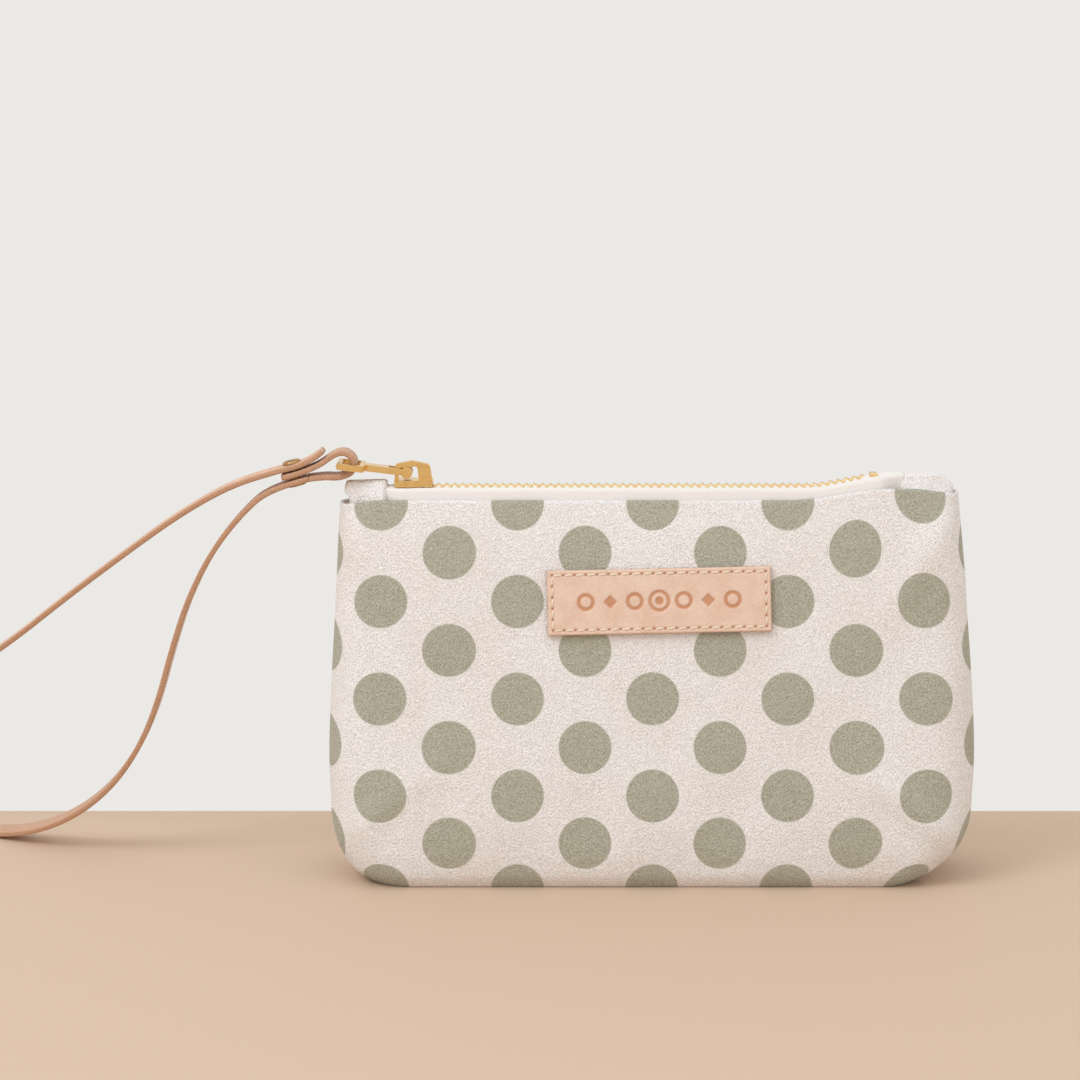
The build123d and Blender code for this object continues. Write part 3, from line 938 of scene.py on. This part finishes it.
def stitch_shape(length, radius, along):
    """One stitch that lies along a direction on the label: a plump thread that dives at both ends."""
    shape = bmesh.new()
    bmesh.ops.create_uvsphere(shape, u_segments=8, v_segments=6, radius=1.0)
    for v in shape.verts:
        dive = 0.35 * radius * v.co.z**2
        v.co = along * (v.co.z * length / 2) + LABEL_OUT.cross(along) * (v.co.y * radius) + LABEL_OUT * (v.co.x * radius - dive)
    return shape_object("stitch_shape", shape)


class POUCH_OT_label(bpy.types.Operator):
    """Makes the leather label and the stitches that hold it"""

    bl_idname = "pouch.label"
    bl_label = "Leather Label"

    def execute(self, context):
        leather = tanned_leather("veg_tan_label", "#EACFBB", "#E2C1AA", pores=2.2)
        plate = label_plate(settings().label_width, settings().label_height)
        clothe(plate, leather)
        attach(plate, "pouch")
        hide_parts("leather_label")
        a = settings().label_width / 2 - STITCH_INSET
        b = settings().label_height / 2 - STITCH_INSET
        thread = waxed_thread()
        rows = []
        for half, across, level in ((a, LABEL_RIGHT, b), (b, LABEL_UP, a)):
            pitch = stitch_step(half)
            lean = (across + (LABEL_UP if across is LABEL_RIGHT else LABEL_RIGHT) * 0.1).normalized()
            for side in (-1, 1):
                first, last = -half + pitch / 2, half - pitch / 2 + 0.01 * MM
                ends = [(first, side * level), (last, side * level)]
                if across is LABEL_UP:
                    ends = [(side * level, v) for v, _ in ends]
                path = [on_label(u, v, LABEL_THICKNESS - 0.04 * MM) for u, v in ends]
                stitch = stitch_shape(pitch * 0.8, 0.33 * MM, lean)
                rows.append(repeat_along("stitch_row", path, stitch, thread, pitch))
        row = join("label_stitching", rows)
        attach(row, "pouch")
        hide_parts("label_stitches")
        return {"FINISHED"}


# ------------------------------------------------------------------ stage


# The stage, in metres and degrees: where the floor ends behind the pouch, how far it runs, and the camera.
FLOOR_END = 0.075
FLOOR_REACH = 3
CAMERA_LENS = 99.07
CAMERA_PLACE = (-0.035, -0.920, 0.2612)
CAMERA_DIP = 9.5


class POUCH_OT_stage(bpy.types.Operator):
    """Makes the floor, the lights, the pale surroundings and the camera"""

    bl_idname = "pouch.stage"
    bl_label = "Stage"

    def execute(self, context):
        scene = bpy.context.scene
        paint = bpy.data.materials.new("stage_floor")
        paint.use_nodes = True
        paint.node_tree.nodes["Principled BSDF"].inputs["Base Color"].default_value = linear("#CDB299")
        paint.node_tree.nodes["Principled BSDF"].inputs["Roughness"].default_value = 0.7
        corners = (
            (-FLOOR_REACH, -FLOOR_REACH, 0), (FLOOR_REACH, -FLOOR_REACH, 0),
            (FLOOR_REACH, FLOOR_END, 0), (-FLOOR_REACH, FLOOR_END, 0),
        )
        floor = mesh_object("stage_floor", corners, [(0, 1, 2, 3)], smooth=False)
        clothe(floor, paint)
        for name, place, aim, size, power, tint in (
            ("key_light", (-0.9, -0.75, 1.25), (0.0, 0.0, 0.06), 0.8, 10.2, "#EAF3FF"),
            ("fill_light", (0.9, -1.2, 0.7), (0.0, 0.0, 0.06), 1.4, 2.0, "#E6F0FF"),
            ("top_light", (0.0, -0.4, 1.5), (0.0, 0.0, 0.0), 1.2, 3.5, "#E8F2FF"),
        ):
            lamp = bpy.data.lights.new(name, "AREA")
            lamp.shape = "DISK"
            lamp.size = size
            lamp.energy = power
            lamp.color = linear(tint)[:3]
            holder = bpy.data.objects.new(name, lamp)
            holder.location = place
            holder.rotation_euler = (Vector(aim) - Vector(place)).to_track_quat("-Z", "Y").to_euler()
            scene.collection.objects.link(holder)
        world = bpy.data.worlds.new("soft_daylight")
        world.use_nodes = True
        world.node_tree.nodes["Background"].inputs["Color"].default_value = linear("#EBE9E6")
        world.node_tree.nodes["Background"].inputs["Strength"].default_value = 1.0
        scene.world = world
        scene.view_settings.view_transform = "Standard"
        lens = bpy.data.cameras.new("camera")
        lens.sensor_width = 36.0
        lens.lens = CAMERA_LENS
        camera = bpy.data.objects.new("camera", lens)
        camera.location = CAMERA_PLACE
        camera.rotation_euler = (math.radians(90 - CAMERA_DIP), 0.0, 0.0)
        scene.collection.objects.link(camera)
        scene.camera = camera
        return {"FINISHED"}


# ------------------------------------------------------------------ panel and registration


class POUCH_PT_panel(bpy.types.Panel):
    """Lists the pouch's settings and the steps that build it"""

    bl_idname = "POUCH_PT_panel"
    bl_label = "Canvas Pouch"
    bl_space_type = "VIEW_3D"
    bl_region_type = "UI"
    bl_category = "Pouch"

    def draw(self, context):
        for name in PouchSettings.__annotations__:
            self.layout.prop(context.scene.pouch_settings, name)
        for step in STEPS:
            self.layout.operator(step.bl_idname)


STEPS = (POUCH_OT_stage, POUCH_OT_strap, POUCH_OT_canvas, POUCH_OT_tabs, POUCH_OT_zipper, POUCH_OT_label)


def register():
    for item in (PouchSettings, *STEPS, POUCH_PT_panel):
        bpy.utils.register_class(item)
    bpy.types.Scene.pouch_settings = bpy.props.PointerProperty(type=PouchSettings)


def unregister():
    del bpy.types.Scene.pouch_settings
    for item in (POUCH_PT_panel, *reversed(STEPS), PouchSettings):
        bpy.utils.unregister_class(item)


def main():
    register()
    bpy.ops.pouch.stage()
    bpy.ops.pouch.strap()
    bpy.ops.pouch.canvas()
    bpy.ops.pouch.tabs()
    bpy.ops.pouch.zipper()
    bpy.ops.pouch.label()
    bpy.context.view_layer.update()


if __name__ == "__main__":
    main()
